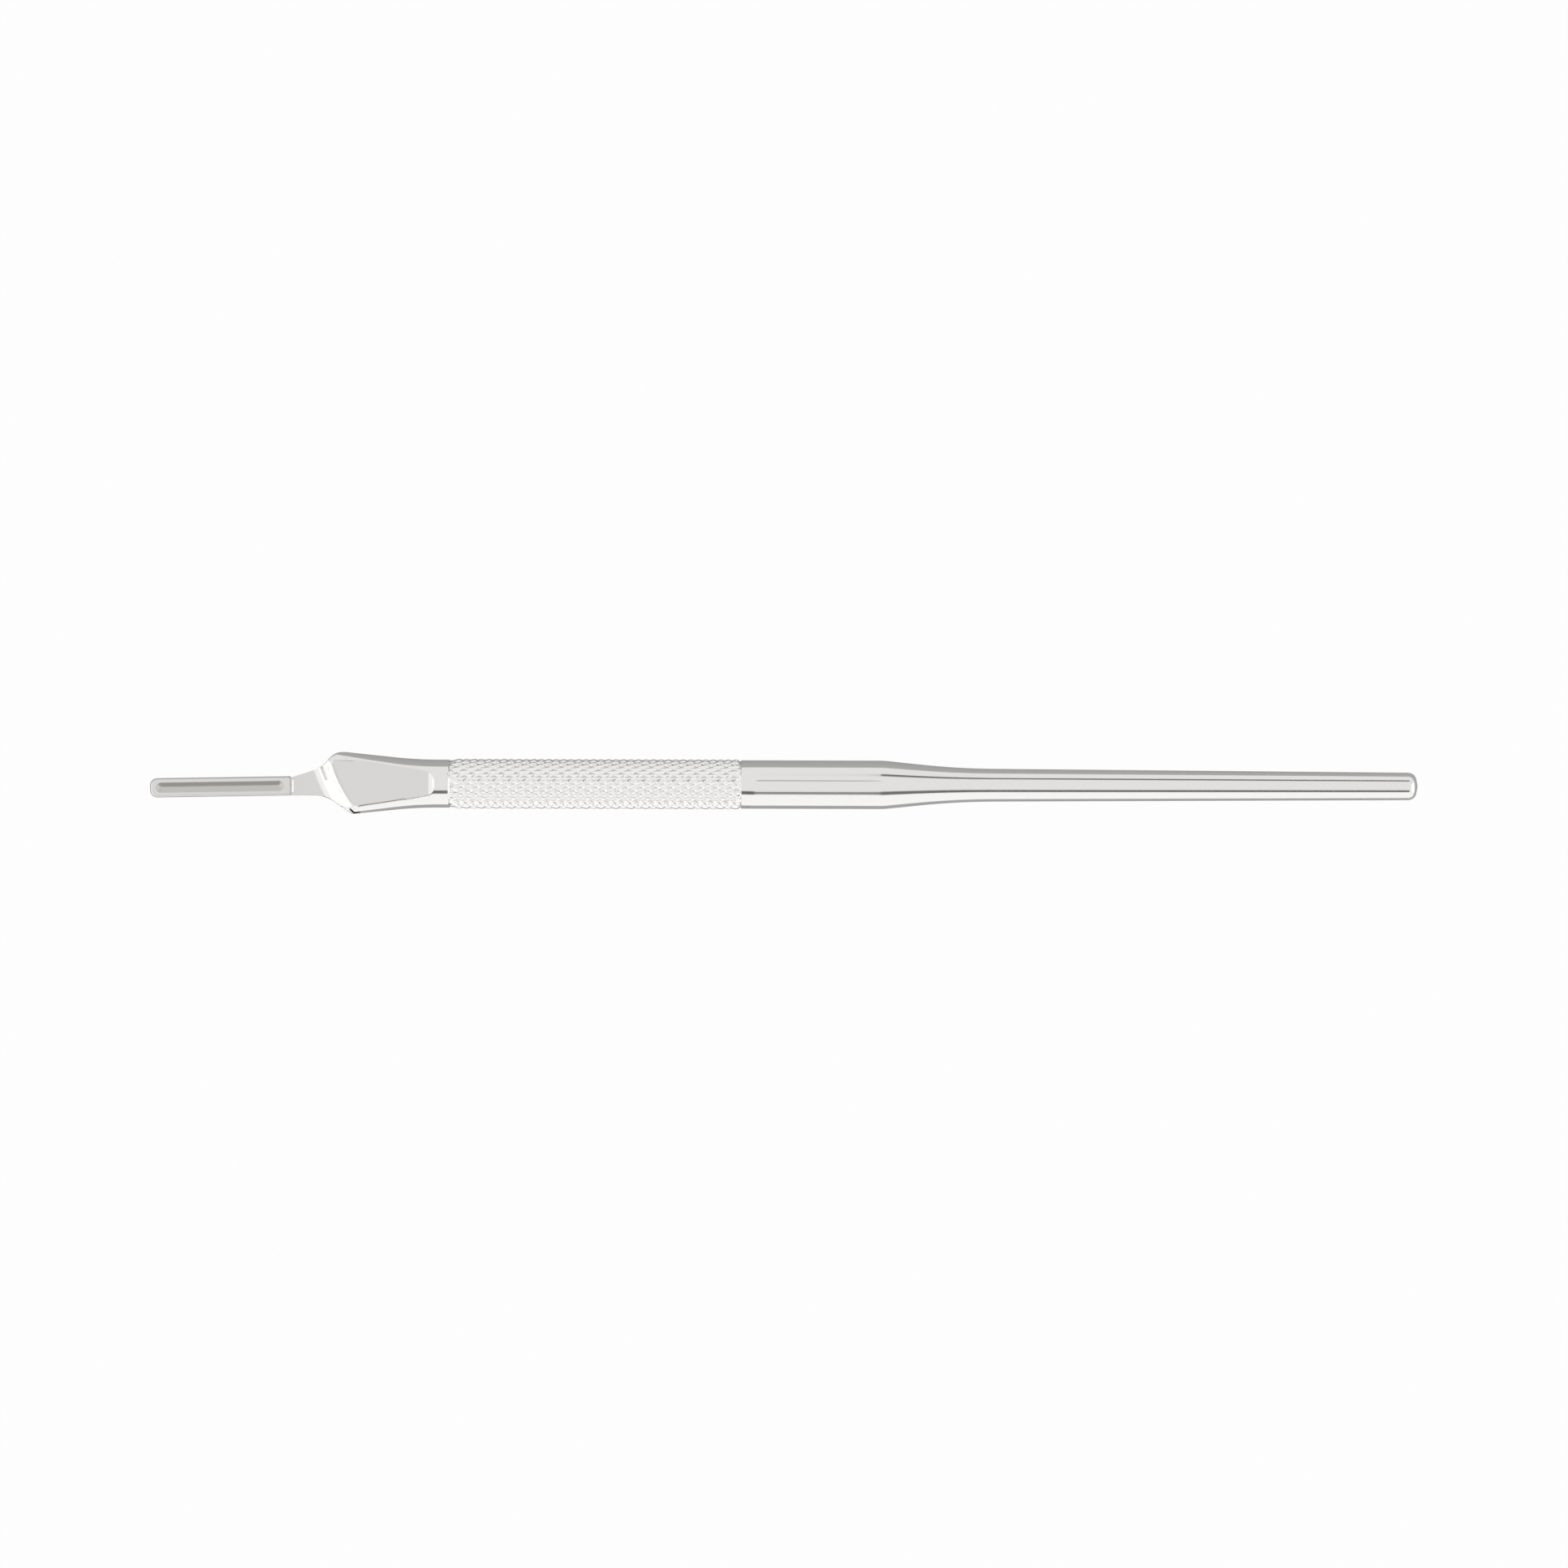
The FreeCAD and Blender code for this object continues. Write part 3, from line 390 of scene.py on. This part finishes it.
def shank_rows():
    """Rows of barrel, cone, shank and rear end: circles round the axis, with stations and radii
    from a profile of arcs and lines, each tangent to the next."""
    # Where the barrel's round ends, and where the blend between cone and shank starts and ends.
    cone_x = barrel_end + barrel_round * math.sin(cone_slope)
    cone_r = barrel_radius - barrel_round * (1 - math.cos(cone_slope))
    shank_r = end_radius + (handle_length - cone_x) * math.tan(shank_taper)
    foot = (cone_r - shank_r) / (math.tan(cone_slope) - math.tan(shank_taper))
    reach = shank_blend * math.tan((cone_slope - shank_taper) / 2)
    blend_x = cone_x + foot - reach * math.cos(cone_slope)
    blend_r = cone_r - (foot - reach * math.cos(cone_slope)) * math.tan(cone_slope)
    taper_x = cone_x + foot + reach * math.cos(shank_taper)
    taper_r = shank_r - (foot + reach * math.cos(shank_taper)) * math.tan(shank_taper)
    round_x = handle_length - end_crown - end_round
    round_r = end_radius + (end_crown + end_round) * math.tan(shank_taper)
    face_r = round_r - end_round

    grip_end = grip_start + half_pitches * half_pitch
    profile = [(grip_end + .01, 2.74), (grip_end + .03, 2.775), (grip_end + .07, barrel_radius)]
    profile += [(x, barrel_radius) for x in np.linspace(grip_end + 2, barrel_end, 8)]
    profile += [(barrel_end + barrel_round * math.sin(a),
                 barrel_radius - barrel_round * (1 - math.cos(a)))
                for a in cone_slope * np.arange(1, 5) / 4]
    profile += [(cone_x + (blend_x - cone_x) * t, cone_r + (blend_r - cone_r) * t) for t in (.33, .67)]
    profile += [(blend_x + shank_blend * (math.sin(cone_slope) - math.sin(a)),
                 blend_r - shank_blend * (math.cos(a) - math.cos(cone_slope)))
                for a in cone_slope + (shank_taper - cone_slope) * np.arange(9) / 8]
    profile += [(taper_x + (round_x - taper_x) * t, taper_r + (round_r - taper_r) * t)
                for t in np.linspace(.1, 1, 12)]
    profile += [(round_x + end_round * math.sin(a), round_r - end_round + end_round * math.cos(a))
                for a in np.radians([12, 25, 38, 51, 64, 77, 87])]
    crown = (face_r ** 2 + end_crown ** 2) / (2 * end_crown)
    profile += [(handle_length - crown + math.sqrt(crown ** 2 - r * r), r)
                for r in (face_r * .97, face_r * .7, face_r * .4, face_r * .15, 0)]
    x, radius = (v[:, None] for v in np.array(profile).T)
    angle = even_angles()
    return np.stack([x + 0 * angle, radius * np.cos(angle), radius * np.sin(angle)], -1)


# The whole handle: the rows in their order become one closed mesh. It lies with its middle over the
# origin, the key towards -X and the lowest crests of its knurl on the floor.

middle_station, axis_height = 73.05, 2.86579


def handle_skin():
    """All rows of the skin joined into one array of rows, columns and coordinates in millimetres."""
    sweep = sweep_rows()
    middle = -key_drop + seat_start * math.tan(key_slope)
    spacing = {0: middle}
    for side, rows in zip((1, -1), sweep):
        edge = side * plan_edge(np.array(seat_start), side) - middle
        spacing[side] = (rows[-1, :38, 1] - middle) / edge
    upper, lower = (np.concatenate(rows) for rows in zip(key_rows(), sweep, head_rows(spacing)))
    ring = np.empty((len(upper), 200, 3))
    ring[:, (49 - np.arange(100)) % 200] = upper
    ring[:, 50 + np.arange(100)] = lower
    return np.concatenate([ring, grip_rows(), shank_rows()])


skin = handle_skin()
count, around = skin.shape[:2]
index = np.arange(count * around).reshape(count, around)
a, b = index[:-1], np.roll(index[:-1], -1, 1)
c, d = np.roll(index[1:], -1, 1), index[1:]

# Squares are halved from a to c, apart from those on the knurl's grooves that run the other way.
row = np.arange(count - 1)[:, None] - (count - len(shank_rows()) - len(grip_rows()))
column = np.arange(around)[None, :]
groove = (((row + column - 1) % 10 == 5) & (row >= 0))[..., None]
first = np.where(groove, np.stack([a, b, d], -1), np.stack([a, b, c], -1))
second = np.where(groove, np.stack([b, c, d], -1), np.stack([a, c, d], -1))
triangles = np.concatenate([first, second], 2).reshape(-1, 3)

# The first row folds shut along the key's tip and the last one shrinks to a point: their points
# that coincide become one, and faces that lost a side go.
points = (skin.reshape(-1, 3) + [-middle_station, 0, axis_height]) / 1000
place, same = np.unique(np.round(points, 8), axis=0, return_inverse=True)
same = same.reshape(-1)
triangles = same[triangles]
whole = (triangles != np.roll(triangles, 1, 1)).all(1)
mesh = bpy.data.meshes.new("handle_skin")
mesh.from_pydata(place, [], triangles[whole])
mesh.polygons.foreach_set("use_smooth", np.ones(len(mesh.polygons), bool))
handle = bpy.data.objects.new("steel_handle", mesh)
bpy.context.collection.objects.link(handle)


# The steel: surgical stainless, satin polished after turning, which gives soft-edged reflections of
# a nearly white grey. The milled and ground faces are duller. The key's channel is rougher, as the
# cutter left it, and its darker colour is painted shade in its recess. The knurl's lighter colour is
# a painted sheen.

x, y, z = skin.reshape(-1, 3).T
flat_here = flat_height + (x - stop_station) * math.tan(flat_slope)
on_seat, on_back = np.abs(z - seat_level) < .05, np.abs(z - back_level) < .02
on_flat = np.abs(np.abs(z) - flat_here) < .01
on_bar = (x < key_end + .02) & (z > .6) & (z < bar_top + .001)
over_channel = np.abs(y + key_drop - x * math.tan(key_slope)) < channel_rim
cut_in = (z > .5) & (z < bar_top - .005)
grip_end = grip_start + half_pitches * half_pitch
finishes_and_painted_light = {
    "ground": on_bar | ((x < flat_end + .1) & (on_seat | on_back | on_flat)),
    # The channel's mask carries its rougher finish and its painted shade: the material darkens its
    # colour.
    "channel": (x > channel_front - .6) & (x < channel_rear + .6) & over_channel & cut_in,
    # The knurl's mask carries its own roughness and a painted sheen: the material lightens its colour.
    "knurled": (x > grip_start) & (x < grip_end + .0015),
}
for name, part in finishes_and_painted_light.items():
    value = np.zeros(len(place), np.float32)
    value[same] = part
    mesh.attributes.new(name, "FLOAT", "POINT").data.foreach_set("value", value)


def linear(hex_colour):
    """The scene-linear RGBA of an sRGB colour written as six hex digits."""
    parts = [int(hex_colour[i:i + 2], 16) / 255 for i in (0, 2, 4)]
    return [c / 12.92 if c <= 0.04045 else ((c + 0.055) / 1.055) ** 2.4 for c in parts] + [1]


def add(tree, kind, settings=(), **inputs):
    """A new node of that kind. Settings are pairs of a property and its value. Each other keyword
    names an input, or its number after a _, and gives a value or a socket to link."""
    node = tree.nodes.new(kind)
    for name, value in settings:
        setattr(node, name, value)
    for name, value in inputs.items():
        socket = node.inputs[int(name[1:])] if name[1:].isdigit() else node.inputs[name.replace("_", " ")]
        if isinstance(value, bpy.types.NodeSocket):
            tree.links.new(value, socket)
        else:
            socket.default_value = value
    return node


steel = bpy.data.materials.new("satin stainless steel")
steel.use_nodes = True
tree = steel.node_tree
shader = tree.nodes["Principled BSDF"]
shader.inputs["Metallic"].default_value = 1
colour, rough = linear("e1e0de"), .11
# The channel's darker colour is painted shade in its recess. The knurl's lighter colour is a painted
# sheen. The roughnesses are the faces' own finish.
for name, other, other_rough in (("ground", "d6d5d3", .28), ("channel", "c1bfbb", .3),
                                 ("knurled", "ebeae8", .2)):
    where = add(tree, "ShaderNodeAttribute", [("attribute_name", name)]).outputs["Fac"]
    tint = add(tree, "ShaderNodeMix", [("data_type", "RGBA")], _0=where, _6=colour, _7=linear(other))
    grain = add(tree, "ShaderNodeMapRange", Value=where, To_Min=rough, To_Max=other_rough)
    colour, rough = tint.outputs[2], grain.outputs[0]
tree.links.new(colour, shader.inputs["Base Color"])
tree.links.new(rough, shader.inputs["Roughness"])
mesh.materials.append(steel)

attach(handle, "root")
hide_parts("handle")


# The floor: matt white paper. To the camera and in the steel it shows as plain white, and with a
# little of its own shading it keeps the handle's faint shadow.

bpy.ops.mesh.primitive_plane_add(size=3)
floor = bpy.context.object
floor.name = "floor"
paper = bpy.data.materials.new("white paper")
paper.use_nodes = True
tree = paper.node_tree
tree.nodes.clear()
path = add(tree, "ShaderNodeLightPath")
matt = add(tree, "ShaderNodeBsdfDiffuse", Color=linear("b7b7b7"))
glow = add(tree, "ShaderNodeEmission", Color=linear("ffffff"), Strength=1)
white = path.outputs["Is Camera Ray"]
for kind in ("Is Glossy Ray", "Is Transmission Ray"):
    either = add(tree, "ShaderNodeMath", [("operation", "MAXIMUM")], _0=white, _1=path.outputs[kind])
    white = either.outputs[0]
whiteness = .97
lift = add(tree, "ShaderNodeMath", [("operation", "MULTIPLY")], _0=white, _1=whiteness)
mixed = add(tree, "ShaderNodeMixShader", _0=lift.outputs[0], _1=matt.outputs[0], _2=glow.outputs[0])
add(tree, "ShaderNodeOutputMaterial", Surface=mixed.outputs[0])
floor.data.materials.append(paper)


# The studio: a white tent with soft lamps low in front and at both ends. Metres from here on.

world = bpy.data.worlds.new("white tent")
bpy.context.scene.world = world
world.use_nodes = True
tent = world.node_tree.nodes["Background"]
tent.inputs["Color"].default_value = linear("ffffff")
tent.inputs["Strength"].default_value = 1

right_angle = math.pi / 2


def softbox(name, place, turn, size, radiance):
    """A soft lamp: a glowing rectangle that shows in the steel and not to the camera. Its power is
    radiance times pi times its area."""
    light = bpy.data.lights.new(name, "AREA")
    light.shape = "RECTANGLE"
    light.size, light.size_y = size
    light.energy = radiance * math.pi * size[0] * size[1]
    lamp = bpy.data.objects.new(name, light)
    bpy.context.collection.objects.link(lamp)
    lamp.location, lamp.rotation_euler = place, turn
    lamp.visible_camera = False


softbox("front", (0, -.75, .31), (right_angle, 0, 0), (1.4, .62), .21)
softbox("front reflector", (0, -.3795, .0002), (math.pi, 0, 0), (1.4, .74), .24)
softbox("left", (-.7, -.15, .19), (right_angle, 0, -right_angle), (.9, .38), .35)
softbox("upper left", (-.7, -.15, .78), (right_angle, 0, -right_angle), (.9, .8), .17)
softbox("right", (.7, -.15, .5), (right_angle, 0, right_angle), (.9, 1), .35)


def reflected_sheet(name, material, tone, shine, place, turn, size):
    """A flat sheet that only shows in the steel: neither the camera nor the floor sees it. It is as
    long and wide as size says, and turned about its long axis."""
    surface = bpy.data.materials.new(material)
    surface.use_nodes = True
    shader = surface.node_tree.nodes["Principled BSDF"]
    shader.inputs["Base Color"].default_value = linear(tone)
    shader.inputs["Specular IOR Level"].default_value = shine
    bpy.ops.mesh.primitive_plane_add(size=1)
    sheet = bpy.context.object
    sheet.name = name
    sheet.scale = (*size, 1)
    sheet.location, sheet.rotation_euler = place, (turn, 0, 0)
    sheet.visible_camera = sheet.visible_diffuse = sheet.visible_shadow = False
    sheet.data.materials.append(surface)


# A grey card that the handle lies on, from just in front of it to far behind it, gives the lower
# edge its thin dark line and the upper edge its darker band. A small black card before the head
# gives the shoulder's blunt corner its dark spot. Both are dead matt.
dead_matt, plain_cloth = 0, .5
reflected_sheet("grey card", "grey card", "b7b7b7", dead_matt, (0, .37225, .00002), 0, (2, .7635))
reflected_sheet("black card", "black card", "202020", dead_matt, (-.051, -.007, .00005), 0, (.0044, .005))

# The tent's seams and a fold in its cloth, which the turned steel shows as dark lines. Each hangs
# over the handle's axis, with its middle at a station along it and at an angle in front or behind.
seam_distance = .6
for name, station, angle, size, tone in (
        ("rear seam", .12, -47.2, (.18, .112), "7e7e7e"),
        ("front seam", .12, 41, (.18, .178), "7e7e7e"),
        ("front seam, middle", -.01, 41, (.08, .12), "a4a4a4"),
        ("front seam, forward part", -.165, 41, (.23, .178), "747474"),
        ("fold over the barrel", .0005, -18.4, (.045, .034), "6a6a6a")):
    angle = math.radians(angle)
    hung = (station, -seam_distance * math.sin(angle), seam_distance * math.cos(angle))
    reflected_sheet(name, "grey cloth", tone, plain_cloth, hung, angle, size)


# The camera: straight above, far off, with the photograph's width of 180.8 mm in its view at the
# height of the handle's axis, and turned by the fraction of a degree that the handle lies askew.

half_frame, lens, sensor = .0904, 200, 36
aside, eye_level, askew = .00007, .0029, math.radians(.168)
camera = bpy.data.objects.new("camera", bpy.data.cameras.new("camera"))
bpy.context.collection.objects.link(camera)
bpy.context.scene.camera = camera
camera.data.lens = lens
camera.data.sensor_width = sensor
camera.location = (0, aside, eye_level + half_frame / (sensor / 2 / lens))
camera.rotation_euler = (0, 0, askew)
camera.data.clip_start, camera.data.clip_end = .1, 10

bpy.context.scene.view_settings.view_transform = "Standard"
